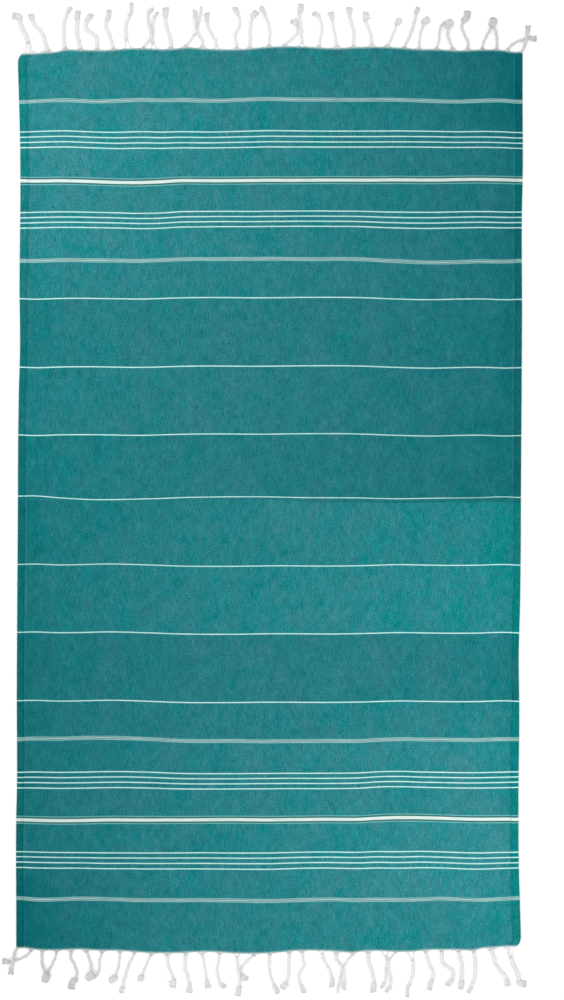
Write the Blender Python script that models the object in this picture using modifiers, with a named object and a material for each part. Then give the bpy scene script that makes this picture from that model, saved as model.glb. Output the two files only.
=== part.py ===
"""Hammam towel: one flat-woven cotton cloth lying open, with knotted tassels along both of its ends.

Metres, +Z up.  The towel lies on the plane z = 0 with its middle at the origin, and its head end at +Y.
It was folded in half and in quarters before, so its foot half repeats its head half turned half round.
All sizes in the tables are in millimetres and turned into metres by MM where they are used.
"""

from bisect import bisect_right
from collections import namedtuple
from math import atan2, ceil, cos, pi, radians, sin

import bmesh
import bpy
import numpy as np

MM = 0.001

# Driving sizes of the cloth, in millimetres.
CLOTH_WIDTH = 1000.0
CLOTH_LENGTH = 1790.0
CLOTH_THICK = 1.2
HEM_WIDTH = 15.0
HEM_THICK = 2.2
HEM_STEP = 2.0  # over which the hem's thickness runs out into the cloth

# Driving sizes of the fringe, in millimetres.
PIECE_GAP = 0.3  # between the cloth and the heading
HEADING_WIDTH = 3.0
HEADING_THICK = 1.2
FAN_REACH = 14.0  # over which a tassel's loose warp ends gather into its cord
FAN_SPREAD = 4.0  # from its root to where the fan starts to narrow quickly
FAN_SPREAD_SHARE = 0.8  # of its width at the edge that it still has there
FAN_THICK = 1.6
CORD_THICK = 4.5
KNOT_EXTRA = 5.0  # how much wider a knot is than its cord
KNOT_THICK = 6.5
KNOT_HALF = 6.0
TUFT_THICK = 3.5
WAIST_SHARE = 0.8  # width behind a tuft's tip against the tip's
TOP_SHARE = 0.6  # width of a cord's rounded top against its foot on the floor
RIDE_HEIGHT = 5.6  # of a cord's underside where it crosses over its neighbour
RIDE_SLOPE = 8.0
CORD_STEP = 14.0  # between two sections of a plain cord
TURN_STEP = 1.0  # either way along a course, to read its direction
ROOT_INSET = 0.25  # of the heading's thickness, above and below a tassel's root inside it

# Widest cells of the meshes, in millimetres.
CLOTH_CELL_ACROSS = 62.0
CLOTH_CELL_ALONG = 92.0

# The left hem's sway: at each place along the towel, how far its edge lies inside the cloth's half width.
# The last two rows are the nipped corner at the head.
HemSway = namedtuple("HemSway", "along inside")
LEFT_HEM = (
    HemSway(-895.0, -3.6),
    HemSway(-800.0, -4.6),
    HemSway(-680.0, -4.4),
    HemSway(-440.0, -2.8),
    HemSway(-200.0, -2.0),
    HemSway(40.0, -0.4),
    HemSway(280.0, 3.0),
    HemSway(400.0, 2.4),
    HemSway(580.0, 4.0),
    HemSway(760.0, 2.4),
    HemSway(873.0, 0.8),
    HemSway(886.0, 8.5),
)

# The head edge's sway: at each place across the towel, how far the last weft lies past the half length.
EdgeSway = namedtuple("EdgeSway", "across past")
HEAD_EDGE = (
    EdgeSway(-492.0, -9.0),
    EdgeSway(-445.0, -7.2),
    EdgeSway(-405.0, -2.2),
    EdgeSway(-336.0, -2.2),
    EdgeSway(-266.0, 2.4),
    EdgeSway(-177.0, 2.8),
    EdgeSway(-68.0, 0.6),
    EdgeSway(10.0, 5.6),
    EdgeSway(72.0, 5.6),
    EdgeSway(121.0, 2.0),
    EdgeSway(250.0, 3.4),
    EdgeSway(340.0, -0.8),
    EdgeSway(380.0, -3.2),
    EdgeSway(420.0, -1.0),
    EdgeSway(503.0, -5.6),
)

# Folds that the towel keeps from lying folded.  Each is a soft ridge that rises over its half width and
# runs out at both of its ends.  Every row is repeated turned half round.
Ridge = namedtuple("Ridge", "runs at start stop half_width height")
RIDGES = (
    Ridge("along", -252.0, -60.0, 640.0, 28.0, 3.0),
    Ridge("along", -252.0, -830.0, -90.0, 28.0, 1.6),
    Ridge("along", 0.0, 60.0, 800.0, 30.0, 1.8),
    Ridge("along", -127.0, 40.0, 420.0, 34.0, 1.8),
    Ridge("across", 50.0, -470.0, 470.0, 46.0, 3.2),
)
RIDGE_RUN_OUT = 90.0

# The tassels of the head end, from left to right.  root: place across the towel.  fan: width of its loose
# warp ends at the edge.  length, then lean: its course in four equal stretches, in degrees to the right of
# straight out.  cord: width.  knot: its middle's distance from the tip.  end: width of the tip.  over and
# span: where it crosses over the tassel beside it, and half the length that stays up there.
Tassel = namedtuple("Tassel", "root fan length lean cord knot end over span", defaults=(None, 0.0))
TASSELS = (
    Tassel(-480, 20, 85, (-3, -32, -11, -25), 9.0, 14, 17),
    Tassel(-441, 16, 83, (-21, -13, -40, -20), 8.5, 13, 12),
    Tassel(-405, 14, 87, (-11, 2, 8, 28), 7.0, 12, 9),
    Tassel(-373, 10, 78, (-14, -13, 4, 5), 7.0, 13, 11),
    Tassel(-341, 14, 83, (-7, -53, -11, 42), 8.5, 14, 14),
    Tassel(-310, 12, 81, (-14, -25, 11, 10), 7.0, 20, 11),
    Tassel(-281, 15, 89, (-7, 4, 23, 2), 7.0, 12, 8),
    Tassel(-250, 7, 76, (43, 18, 6, 26), 6.0, 12, 8),
    Tassel(-228, 13, 84, (-9, -13, -11, 20), 6.0, 12, 8, 29, 16),
    Tassel(-194, 10, 80, (-6, -16, -12, 6), 7.0, 14, 13),
    Tassel(-165, 12, 86, (40, 22, 13, 8), 5.5, 12, 6),
    Tassel(-136, 14, 75, (0, -35, -1, -3), 6.5, 13, 10, 38, 12),
    Tassel(-103, 10, 73, (-14, -32, -20, 8), 7.0, 13, 13),
    Tassel(-63, 8, 85, (-15, 22, 0, -19), 7.0, 13, 12),
    Tassel(-39, 10, 74, (4, -1, 13, 24), 7.0, 10, 12),
    Tassel(-1, 10, 83, (8, -8, -17, -21), 7.0, 13, 11),
    Tassel(29, 14, 62, (46, 38, 6, -36), 7.0, 10, 11),
    Tassel(65, 16, 85, (-1, -7, 3, 4), 7.0, 13, 12),
    Tassel(100, 8, 72, (6, 9, -20, -37), 7.0, 12, 13),
    Tassel(135, 16, 71, (-9, -13, -6, -13), 7.0, 14, 14),
    Tassel(169, 12, 78, (2, -12, -11, 0), 7.0, 14, 14),
    Tassel(204, 18, 68, (-4, -14, -16, 3), 7.0, 13, 14),
    Tassel(236, 12, 62, (28, 21, 22, 19), 7.0, 8, 10),
    Tassel(270, 8, 82, (22, 23, 15, 14), 6.5, 12, 11),
    Tassel(298, 8, 62, (6, 12, 22, 27), 7.0, 9, 13),
    Tassel(334, 8, 54, (10, 9, 19, 52), 6.5, 9, 8),
    Tassel(366, 12, 62, (-17, -12, 10, 18), 7.0, 10, 9),
    Tassel(395, 10, 80, (-4, -27, 23, 9), 7.0, 19, 14),
    Tassel(423, 8, 65, (17, 26, 33, 40), 6.5, 7, 9),
    Tassel(453, 8, 62, (0, -8, -33, -14), 6.5, 7, 9, 46, 9),
    Tassel(476, 8, 63, (40, 67, 79, 88), 7.0, 8, 13),
    Tassel(500, 6, 53, (40, 22, 8, 5), 6.5, 10, 11, 26.5, 8.5),
)
STRETCHES = 4


def smooth_through(rows, at):
    """Value at one place on a smooth curve through (place, value) rows, level beyond both ends."""
    places = [row[0] for row in rows]
    values = [row[1] for row in rows]
    slopes = np.gradient(values, places)
    at = min(max(at, places[0]), places[-1])
    left = min(bisect_right(places, at), len(places) - 1) - 1
    span = places[left + 1] - places[left]
    part = (at - places[left]) / span
    rise = values[left + 1] - values[left]
    start_bend = slopes[left] * span - rise
    end_bend = rise - slopes[left + 1] * span
    bend = (1 - part) * start_bend + part * end_bend
    return float(values[left] + part * rise + part * (1 - part) * bend)


def ease(part):
    """Runs smoothly from 0 to 1 while part does."""
    part = min(max(part, 0.0), 1.0)
    return part * part * (3 - 2 * part)


def filled(marks, widest):
    """The sorted marks, with even steps added wherever two of them are further apart than widest."""
    marks = sorted(set(marks))
    stations = []
    for low, high in zip(marks, marks[1:]):
        steps = ceil((high - low) / widest)
        stations += [low + (high - low) * step / steps for step in range(steps)]
    return stations + marks[-1:]


def left_hem_x(along):
    return smooth_through(LEFT_HEM, along) - CLOTH_WIDTH / 2


def right_hem_x(along):
    return -left_hem_x(-along)


def head_edge_y(across):
    return CLOTH_LENGTH / 2 + smooth_through(HEAD_EDGE, across)


def foot_edge_y(across):
    return -head_edge_y(-across)


def ridge_lift(ridge, across, along):
    """Height of one ridge above the floor at a point of the towel."""
    if ridge.runs == "along":
        beside, run = across - ridge.at, along
    else:
        beside, run = along - ridge.at, across
    if abs(beside) >= ridge.half_width:
        return 0.0
    crown = cos(pi / 2 * beside / ridge.half_width) ** 2
    rise = ease((run - ridge.start) / RIDGE_RUN_OUT) * ease((ridge.stop - run) / RIDGE_RUN_OUT)
    return ridge.height * crown * rise


def fold_lift(across, along):
    """Height of the cloth's underside: the highest of the ridges that pass there."""
    lifts = [ridge_lift(ridge, across, along) for ridge in RIDGES]
    lifts += [ridge_lift(ridge, -across, -along) for ridge in RIDGES]
    return max(lifts)


def ridge_marks(direction):
    """The places beside the ridges of one direction where the cloth's mesh needs a line."""
    marks = set()
    for ridge in RIDGES:
        if ridge.runs != direction:
            continue
        for share in (-1.0, -0.5, 0.0, 0.5, 1.0):
            place = ridge.at + share * ridge.half_width
            marks |= {place, -place}
    return marks


def make_material(name, colour, roughness):
    material = bpy.data.materials.new(name)
    material.use_nodes = True
    shader = material.node_tree.nodes["Principled BSDF"]
    shader.inputs["Base Color"].default_value = (*colour, 1.0)
    shader.inputs["Roughness"].default_value = roughness
    shader.inputs["Metallic"].default_value = 0.0
    material.diffuse_color = (*colour, 1.0)
    return material


def add_object(name, mesh, material, collection):
    towel_piece = bpy.data.objects.new(name, mesh)
    if not mesh.materials:
        mesh.materials.append(material)
    collection.objects.link(towel_piece)
    return towel_piece


def sheet_mesh(name, columns, rows, place, thick_at=None):
    """An open sheet with a vertex for each column and row, put where place(column, row) says.

    Where thick_at(column) is true, a vertex goes into the mesh's first vertex group.
    """
    sheet = bmesh.new()
    bmesh.ops.create_grid(sheet, x_segments=len(columns) - 1, y_segments=len(rows) - 1, size=0.5)
    group_weights = sheet.verts.layers.deform.verify()
    for vertex in sheet.verts:
        column = columns[round((vertex.co.x + 0.5) * (len(columns) - 1))]
        row = rows[round((vertex.co.y + 0.5) * (len(rows) - 1))]
        vertex.co = [MM * size for size in place(column, row)]
        if thick_at and thick_at(column):
            vertex[group_weights][0] = 1.0
    mesh = bpy.data.meshes.new(name)
    sheet.to_mesh(mesh)
    sheet.free()
    return mesh


def add_thickness(sheet, thick):
    """Gives a sheet its thickness upwards, with its underside left where it lies."""
    solid = sheet.modifiers.new("thickness", "SOLIDIFY")
    solid.thickness = thick * MM
    solid.offset = 1.0
    return solid


def cloth_columns():
    """Places across the flat cloth, from hem to hem, where its mesh has a line."""
    hem_inside = CLOTH_WIDTH / 2 - HEM_WIDTH
    hem_marks = {CLOTH_WIDTH / 2, hem_inside, hem_inside - HEM_STEP}
    hem_marks |= {-mark for mark in hem_marks}
    return filled(hem_marks | ridge_marks("along"), CLOTH_CELL_ACROSS)


def cloth_rows():
    """Places along the flat cloth, from foot to head, where its mesh has a line."""
    end_marks = {CLOTH_LENGTH / 2} | {row.along for row in LEFT_HEM[-2:]}
    end_marks |= {-mark for mark in end_marks}
    return filled(end_marks | ridge_marks("across"), CLOTH_CELL_ALONG)


def across_cloth(column, along):
    """Where a place across the flat cloth lies, between the two swaying hems."""
    left, right = left_hem_x(along), right_hem_x(along)
    return left + (column / CLOTH_WIDTH + 0.5) * (right - left)


def build_cloth(collection, material):
    def place(column, row):
        across = across_cloth(column, row)
        foot, head = foot_edge_y(across), head_edge_y(across)
        along = foot + (row / CLOTH_LENGTH + 0.5) * (head - foot)
        return across, along, fold_lift(column, row)

    def in_hem(column):
        return abs(column) >= CLOTH_WIDTH / 2 - HEM_WIDTH

    mesh = sheet_mesh("cloth", cloth_columns(), cloth_rows(), place, in_hem)
    cloth = add_object("cloth", mesh, material, collection)
    hems = cloth.vertex_groups.new(name="hems")
    solid = add_thickness(cloth, HEM_THICK)
    solid.vertex_group = hems.name
    solid.thickness_vertex_group = CLOTH_THICK / HEM_THICK
    return cloth


def heading_mesh():
    """The strip that carries one end's tassels, along the head edge of the cloth."""

    def place(column, row):
        across = across_cloth(column, CLOTH_LENGTH / 2)
        return across, head_edge_y(across) + PIECE_GAP + row, 0.0

    return sheet_mesh("heading", cloth_columns(), [0.0, HEADING_WIDTH], place)


def tassel_course(tassel):
    """A function from a distance along a tassel to its (across, along) place."""
    stretch = tassel.length / STRETCHES
    across = [float(tassel.root)]
    along = [head_edge_y(tassel.root) + PIECE_GAP + HEADING_WIDTH / 2]
    for lean in tassel.lean:
        across.append(across[-1] + stretch * sin(radians(lean)))
        along.append(along[-1] + stretch * cos(radians(lean)))
    run = [stretch * step for step in range(STRETCHES + 1)]
    return lambda distance: (
        smooth_through(list(zip(run, across)), distance),
        smooth_through(list(zip(run, along)), distance),
    )


def ride_lift(tassel, distance):
    """Height of a tassel's underside where it crosses over its neighbour."""
    if tassel.over is None:
        return 0.0
    past = abs(distance - tassel.over) - tassel.span
    return RIDE_HEIGHT * (1 - ease(past / RIDE_SLOPE))


def tassel_sections(tassel):
    """(distance, width, low, high) for each section of a tassel, from its root to its tip."""
    neck = tassel.length - tassel.knot - KNOT_HALF
    waist = tassel.length - tassel.knot + min(KNOT_HALF, tassel.knot / 2)
    knot_width = max(tassel.cord + KNOT_EXTRA, tassel.end)
    profile = [
        (0.0, tassel.fan, HEADING_THICK * ROOT_INSET, HEADING_THICK * (1 - ROOT_INSET)),
        (FAN_SPREAD, tassel.fan * FAN_SPREAD_SHARE, 0.0, FAN_THICK),
        (FAN_REACH, tassel.cord, 0.0, CORD_THICK),
        (neck, tassel.cord, 0.0, CORD_THICK),
        (tassel.length - tassel.knot, knot_width, 0.0, KNOT_THICK),
        (waist, max(tassel.cord, tassel.end * WAIST_SHARE), 0.0, CORD_THICK),
        (tassel.length, tassel.end, 0.0, TUFT_THICK),
    ]
    marks = {row[0] for row in profile} | set(filled({FAN_REACH, neck}, CORD_STEP))
    if tassel.over is not None:
        reach = tassel.span + RIDE_SLOPE
        ride = [tassel.over + share for share in (-reach, -tassel.span, 0.0, tassel.span, reach)]
        marks |= {mark for mark in ride if FAN_SPREAD < mark < tassel.length}
    places = [row[0] for row in profile]
    for distance in sorted(marks):
        width, low, high = (np.interp(distance, places, [row[i] for row in profile]) for i in (1, 2, 3))
        lift = ride_lift(tassel, distance)
        yield distance, width, low + lift, high + lift


def section_side(tassel, course, distance):
    """Unit vector across a tassel: along the cloth's edge at its root, square to its course further out."""
    back_x, back_y = course(max(distance - TURN_STEP, 0.0))
    next_x, next_y = course(min(distance + TURN_STEP, tassel.length))
    turned = atan2(back_x - next_x, next_y - back_y)
    edge_rise = head_edge_y(tassel.root + TURN_STEP) - head_edge_y(tassel.root - TURN_STEP)
    edge = atan2(edge_rise, 2 * TURN_STEP)
    angle = edge + (turned - edge) * ease(distance / FAN_REACH)
    return cos(angle), sin(angle)


def add_tassel(mesh, tassel):
    """Lofts one tassel: a chain of four-sided sections, flat on the floor and narrower on top."""
    course = tassel_course(tassel)
    rings = []
    for distance, width, low, high in tassel_sections(tassel):
        x, y = course(distance)
        side_x, side_y = section_side(tassel, course, distance)
        corners = ((-0.5, low), (0.5, low), (0.5 * TOP_SHARE, high), (-0.5 * TOP_SHARE, high))
        ring = []
        for share, up in corners:
            aside = width * share
            ring.append(mesh.verts.new((MM * (x + aside * side_x), MM * (y + aside * side_y), MM * up)))
        rings.append(ring)
    for back, front in zip(rings, rings[1:]):
        for corner in range(4):
            after = (corner + 1) % 4
            mesh.faces.new((back[corner], back[after], front[after], front[corner]))
    mesh.faces.new(reversed(rings[0]))
    mesh.faces.new(rings[-1])


def tassels_mesh():
    tassels = bmesh.new()
    for tassel in TASSELS:
        add_tassel(tassels, tassel)
    bmesh.ops.triangulate(tassels, faces=tassels.faces)
    bmesh.ops.recalc_face_normals(tassels, faces=tassels.faces)
    mesh = bpy.data.meshes.new("tassels")
    tassels.to_mesh(mesh)
    tassels.free()
    mesh.shade_smooth()
    mesh.set_sharp_from_angle(angle=radians(40))
    return mesh


def build_fringe(name, turn, heading, tassels, collection, joined_shapes, material):
    """One end's heading with its tassels fused on, turned about the middle of the towel."""
    strands = add_object(f"{name}_tassels", tassels, material, joined_shapes)
    strands.hide_render = True
    strands.display_type = "WIRE"
    strands.rotation_euler.z = turn
    fringe = add_object(name, heading, material, collection)
    fringe.rotation_euler.z = turn
    add_thickness(fringe, HEADING_THICK)
    join = fringe.modifiers.new("tassels", "BOOLEAN")
    join.operation = "UNION"
    join.solver = "EXACT"
    join.object = strands
    return fringe


def new_collection(name):
    collection = bpy.data.collections.new(name)
    bpy.context.scene.collection.children.link(collection)
    return collection


def build():
    for leftover in list(bpy.data.objects):
        bpy.data.objects.remove(leftover, do_unlink=True)
    towel = new_collection("hammam_towel")
    joined_shapes = new_collection("joined_shapes")
    teal_cotton = make_material("teal_cotton", (0.024, 0.223, 0.250), 0.9)
    white_cotton = make_material("white_cotton", (0.72, 0.72, 0.69), 0.9)
    build_cloth(towel, teal_cotton)
    heading, tassels = heading_mesh(), tassels_mesh()
    for name, turn in (("fringe_head", 0.0), ("fringe_foot", pi)):
        build_fringe(name, turn, heading, tassels, towel, joined_shapes, white_cotton)


build()
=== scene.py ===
"""Hammam towel, its looks: the flat-woven cloth with its weft stripes and turned hems, the sewing of the
hems, and the knotted tassels at both ends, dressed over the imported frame.

Blender 4.5. Metres, +Z up: the towel lies on z = 0, its middle at the origin and its head end at +Y.
The tables are in millimetres, which MM turns into metres. The foot half repeats the head half turned
half round, as the towel was folded in half and in quarters.
"""

from collections import namedtuple
from math import ceil, pi, radians

import bpy
import numpy as np
from mathutils import Matrix


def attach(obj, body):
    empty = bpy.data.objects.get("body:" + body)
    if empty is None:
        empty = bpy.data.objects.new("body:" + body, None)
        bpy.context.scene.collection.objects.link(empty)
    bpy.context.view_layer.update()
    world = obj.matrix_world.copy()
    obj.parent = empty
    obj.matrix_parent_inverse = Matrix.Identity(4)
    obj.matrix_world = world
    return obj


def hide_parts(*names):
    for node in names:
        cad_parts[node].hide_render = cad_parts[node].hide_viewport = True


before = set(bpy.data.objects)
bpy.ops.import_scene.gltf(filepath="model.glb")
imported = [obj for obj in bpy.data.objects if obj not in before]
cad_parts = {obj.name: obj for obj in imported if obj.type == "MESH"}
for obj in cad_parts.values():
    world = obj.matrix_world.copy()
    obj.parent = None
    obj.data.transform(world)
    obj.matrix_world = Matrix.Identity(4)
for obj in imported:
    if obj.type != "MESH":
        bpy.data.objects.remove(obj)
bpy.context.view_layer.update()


# The view. The towel is seen from straight above, lying a little to the left of the picture's middle.
# The picture is 564 pixels wide and 1000 high, and a pixel of it covers 1.99 mm of the table.
MM = 0.001
PICTURE_WIDE = 564
PICTURE_HIGH = 1000
PIXEL = 1.9914
MIDDLE_PIXEL = (269.4, 500.0)  # where the towel's middle shows
LENS = 85.0
SENSOR = 36.0  # spans the picture's height
SCALE_HEIGHT = 4.0  # above the table, where a pixel covers just that much

view = bpy.data.cameras.new("view")
view.lens = LENS
view.sensor_width = SENSOR
camera = bpy.data.objects.new("camera", view)
camera.location.x = (PICTURE_WIDE / 2 - MIDDLE_PIXEL[0]) * PIXEL * MM
camera.location.y = (MIDDLE_PIXEL[1] - PICTURE_HIGH / 2) * PIXEL * MM
camera.location.z = (PICTURE_HIGH * PIXEL * LENS / SENSOR + SCALE_HEIGHT) * MM
bpy.context.scene.collection.objects.link(camera)
bpy.context.scene.camera = camera


# The table and its light. A plain white top lies under an even white sky, with one broad lamp high up,
# a little towards the lower left of the picture.
TABLE_REACH = 30.0  # from its middle to each side, in metres
TABLE_TOP = -0.3 * MM  # just under the cloth
TABLE_WHITE = (0.97, 0.97, 0.97, 1.0)
TABLE_ROUGHNESS = 0.9
SKY_WHITE = (1.0, 1.0, 1.0, 1.0)
SKY_STRENGTH = 0.96
BROAD_LAMP_STRENGTH = 0.6
BROAD_LAMP_WIDTH = radians(50)
BROAD_LAMP_TILT = (radians(12), radians(-15), 0.0)


def add_piece(name, mesh, finish):
    """A named mesh object with its finish."""
    piece = bpy.data.objects.new(name, mesh)
    mesh.materials.append(finish)
    bpy.context.scene.collection.objects.link(piece)
    return piece


table_white = bpy.data.materials.new("table_white")
table_white.use_nodes = True
table_shader = table_white.node_tree.nodes["Principled BSDF"]
table_shader.inputs["Base Color"].default_value = TABLE_WHITE
table_shader.inputs["Roughness"].default_value = TABLE_ROUGHNESS
corners = [(x * TABLE_REACH, y * TABLE_REACH, TABLE_TOP) for x, y in ((-1, -1), (1, -1), (1, 1), (-1, 1))]
table_mesh = bpy.data.meshes.new("table_top")
table_mesh.from_pydata(corners, [], [range(4)])
table = add_piece("table_top", table_mesh, table_white)

sky = bpy.data.worlds.new("sky")
sky.use_nodes = True
sky_light = sky.node_tree.nodes["Background"]
sky_light.inputs["Color"].default_value = SKY_WHITE
sky_light.inputs["Strength"].default_value = SKY_STRENGTH
bpy.context.scene.world = sky
bpy.context.scene.view_settings.view_transform = "Standard"

broad_light = bpy.data.lights.new("broad_lamp", "SUN")
broad_light.energy = BROAD_LAMP_STRENGTH
broad_light.angle = BROAD_LAMP_WIDTH
broad_lamp = bpy.data.objects.new("broad_lamp", broad_light)
broad_lamp.rotation_euler = BROAD_LAMP_TILT
bpy.context.scene.collection.objects.link(broad_lamp)


# The cloth. One length of cotton, flat-woven with teal weft on undyed warp, with narrow weft stripes of
# undyed yarn. Each long side is turned in twice to the upper side and sewn down. It lies loose and flat,
# with low ridges and creases left from the way it was folded.
CLOTH_WIDTH = 1000.0
CLOTH_LENGTH = 1790.0
CLOTH_THICK = 0.7
HEM_WIDTH = 13.0
HEM_LAYER = 0.75  # from one layer of the turned hem to the next
HEM_CROWN = 0.3  # how far the hem's upper layer swells between its folds
HEM_WIDER = 0.22  # share by which the left hem widens towards the head end, and the right to the foot end
HEM_WIDER_FROM = 390.0  # from the middle
HEM_WIDER_RUN = 120.0
HEM_CLEAR = 2.5  # from the hem's inner fold to the first line of the single cloth
CELL_ACROSS = 8.2
CELL_ALONG = 7.7
CELL_BESIDE_HEM = 8.0
MIDDLE_BLEND = 20.0  # along which the foot half's sway takes over from the head half's

# The sway of the left hem: places along it, and how far its edge lies inside the cloth's half width there.
LEFT_HEM = (
    (-895, -4), (-780, -4.1), (-700, -4.5), (-630, -4), (-580, -2.8), (-380, -2.9), (-220, -2.1),
    (-20, -0.8), (100, -0.3), (218, 1.3), (300, 3.6), (420, 2.6), (620, 4.3), (740, 3.2), (805, 1.3),
    (868, -0.5),
)
NIP = 8.0  # how far the hem is drawn in at its head end
NIP_START = 879.0

# The sway of the head edge: places across it, and how far the last weft lies past the half length there.
HEAD_EDGE = (
    (-492, -6.1), (-470, -5.3), (-445, -3.4), (-425, -2.2), (-408, 2), (-393, 2.3), (-377, 1.3),
    (-361, 1.5), (-340, 1.1), (-312, 1.9), (-290, 4.2), (-240, 4.4), (-218, 3.3), (-190, 4),
    (-170, 6.5), (-130, 4.3), (-100, 3), (-45, 3.8), (-10, 7.3), (12, 8.5), (72, 8.2), (110, 5.7),
    (132, 5.2), (170, 7), (240, 7.4), (270, 5.3), (300, 3.2), (335, 2.9), (380, 0.7), (420, 2.3),
    (465, 1.2), (485, -2), (503, -2.4),
)

# The sway of the head half's wefts under its stripes: the place along the cloth of each, and how far it lies
# towards the head from there, at places across it. The single stripes sway alike.
SWAY_PLACES = (-496, -470, -415, -340, -300, -254, -215, -177, -127, 2, 60, 181, 250, 330, 375, 420, 470, 496)
SINGLES = (0.6, -0.6, 0.8, 0.9, 0.3, -0.3, 0.8, 1.9, 2.5, 2.1, 2.9, 2.4, -0.1, -1.6, -0.4, 0.1, -1.5, -0.7)
WEFT_SWAYS = {
    4.4: (3.4, 3.8, -0.3, -3.8, -3.4, -2.3, -1.3, 0.4, 1.4, 1.8, 0.5, -0.3, -1.9, -0.8, -0.4, 0.3, 1.9, 0.5),
    129.0: SINGLES,
    400.4: SINGLES,
    475.7: (0.8, 0.5, 2.1, 1.2, 1, 0.3, 1.9, 3.9, 4, 4.6, 4, 3.5, -0.2, -2.7, -2, -0.6, -0.8, 0.9),
    556.4: (0.1, 0.6, 1.8, 1, 0.2, -1.4, -0.4, 2, 2.7, 2.9, 3.5, 3.1, 0.8, 0.2, 1.3, 1.8, 0.9, 1.4),
    634.6: (1.3, 0.6, 1, -1.1, -2.2, -2.3, -1, 1.3, 0.9, 2.1, 2.1, 2.2, 2.6, 2.5, 3.5, 3.9, 3.1, 2.3),
    716.3: (1, 1.5, 2.8, 0.5, -0.6, 0.3, -0.3, 0.9, 0.4, 2.2, 2.3, 2.1, 2.2, 1.9, 1.1, 1.1, 0.1, -0.4),
    793.6: (-0.9, 0.3, 2.5, 0, 1.5, 2.9, 2.2, 3.1, 1.5, 4.7, 3.8, 3.2, 3.1, 0.6, -0.5, 1.3, 1.5, -0.4),
}

# Folds that the towel keeps from lying folded: soft ridges that rise over a half width and run out at
# both ends. A crease is narrow and sinks instead. Every row but the crease across the middle is repeated
# turned half round.
MIDDLE_CREASE_AT = -1.5
Fold = namedtuple("Fold", "runs at start stop half_width rise")
FOLDS = (
    Fold("along", -252, -60, 640, 28, 3),
    Fold("along", -252, -830, -90, 28, 1.6),
    Fold("along", 0, 60, 800, 30, 1.8),
    Fold("along", -127, 40, 420, 34, 1.8),
    Fold("across", 50, -470, 470, 46, 3.2),
)
CREASES = (
    Fold("along", -254, -120, 900, 6, -0.7),
    Fold("along", -252, -900, -140, 6, -0.5),
    Fold("along", 3, -40, 900, 6, -0.6),
    Fold("along", -129, 90, 700, 5, -0.3),
    Fold("across", MIDDLE_CREASE_AT, -60, 520, 5, -1.1),
)
FOLD_RUN_OUT = 90.0
CREASE_FLOOR = 1.2  # height at which the cloth lies flat, which leaves its creases room to sink
EDGE_SETTLE = 40.0  # from each edge inwards, the cloth settles onto the table
EDGE_RISE = 0.15  # share of its height that it keeps at the very edge

# The slack of the washed cloth: a sum of shallow waves of many lengths.
SLACK_SEED = 5
SLACK_WAVES = 30
SLACK_SHORTEST = 38.0
SLACK_LONGEST = 190.0
SLACK_STEEPNESS = 0.010
SLACK_LIFT = 0.5  # share of the deepest trough by which the waves are raised; what is still below lies flat

# Lines of the cloth's mesh besides its even cells: inside each end, beside the middle and about its crease.
END_LINES = (1.5, 4.5, 9.0)
MIDDLE_LINES = (4.0, 60.0)
CREASE_LINES = (-5.0, -3.0, -1.5, 0.0, 1.5, 3.0, 5.0)


def smooth_through(marks, levels, at):
    """Level of a smooth curve at places between its marks, flat beyond the first and the last."""
    marks = np.asarray(marks, float)
    levels = np.asarray(levels, float)
    slopes = np.gradient(levels, marks)
    at = np.clip(at, marks[0], marks[-1])
    left = np.clip(np.searchsorted(marks, at, side="right") - 1, 0, len(marks) - 2)
    span = marks[left + 1] - marks[left]
    part = (at - marks[left]) / span
    rise = levels[left + 1] - levels[left]
    start_bend = slopes[left] * span - rise
    end_bend = rise - slopes[left + 1] * span
    return levels[left] + part * rise + part * (1 - part) * ((1 - part) * start_bend + part * end_bend)


def ease(part):
    """Runs smoothly from 0 to 1 while part does."""
    part = np.clip(part, 0.0, 1.0)
    return part * part * (3 - 2 * part)


def filled(marks, widest):
    """The sorted marks, with even steps added wherever two of them are further apart than widest."""
    marks = sorted(set(marks))
    stations = []
    for low, high in zip(marks, marks[1:]):
        steps = ceil((high - low) / widest)
        stations += [low + (high - low) * step / steps for step in range(steps)]
    return np.array(stations + marks[-1:])


def left_edge_x(along):
    """Where the left hem's outer fold lies, at a place along it."""
    nipped = np.clip((along - NIP_START) / (CLOTH_LENGTH / 2 - NIP_START), 0, 1)
    return smooth_through(*zip(*LEFT_HEM), along) + NIP * nipped ** 2 - CLOTH_WIDTH / 2


def head_edge_y(across):
    """Where the last weft of the head end lies, at places across it."""
    return CLOTH_LENGTH / 2 + smooth_through(*zip(*HEAD_EDGE), across)


def head_weft_sway(across, along):
    """How far the weft at one place of the head half lies towards the head, at places across it."""
    levels = [smooth_through(SWAY_PLACES, sways, across) for sways in WEFT_SWAYS.values()]
    levels.append(smooth_through(*zip(*HEAD_EDGE), across))
    places = (*WEFT_SWAYS, CLOTH_LENGTH / 2)
    before = min(max(np.searchsorted(places, along) - 1, 0), len(places) - 2)
    part = np.clip((along - places[before]) / (places[before + 1] - places[before]), 0, 1)
    return levels[before] + part * (levels[before + 1] - levels[before])


def weft_y(across, along):
    """Where one weft of the whole cloth lies, at places across it."""
    head = ease((along + MIDDLE_BLEND) / MIDDLE_BLEND)
    sway = head * head_weft_sway(across, along) - (1 - head) * head_weft_sway(-across, -along)
    return along + sway


def one_fold(fold, across, along):
    """Rise of one fold at places across the cloth."""
    if fold.runs == "along":
        beside, run = across - fold.at, along
    else:
        beside, run = along - fold.at, across
    crown = np.cos(pi / 2 * np.clip(beside / fold.half_width, -1, 1)) ** 2
    run_in = ease((run - fold.start) / FOLD_RUN_OUT)
    run_out = ease((fold.stop - run) / FOLD_RUN_OUT)
    return fold.rise * crown * run_in * run_out


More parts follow.
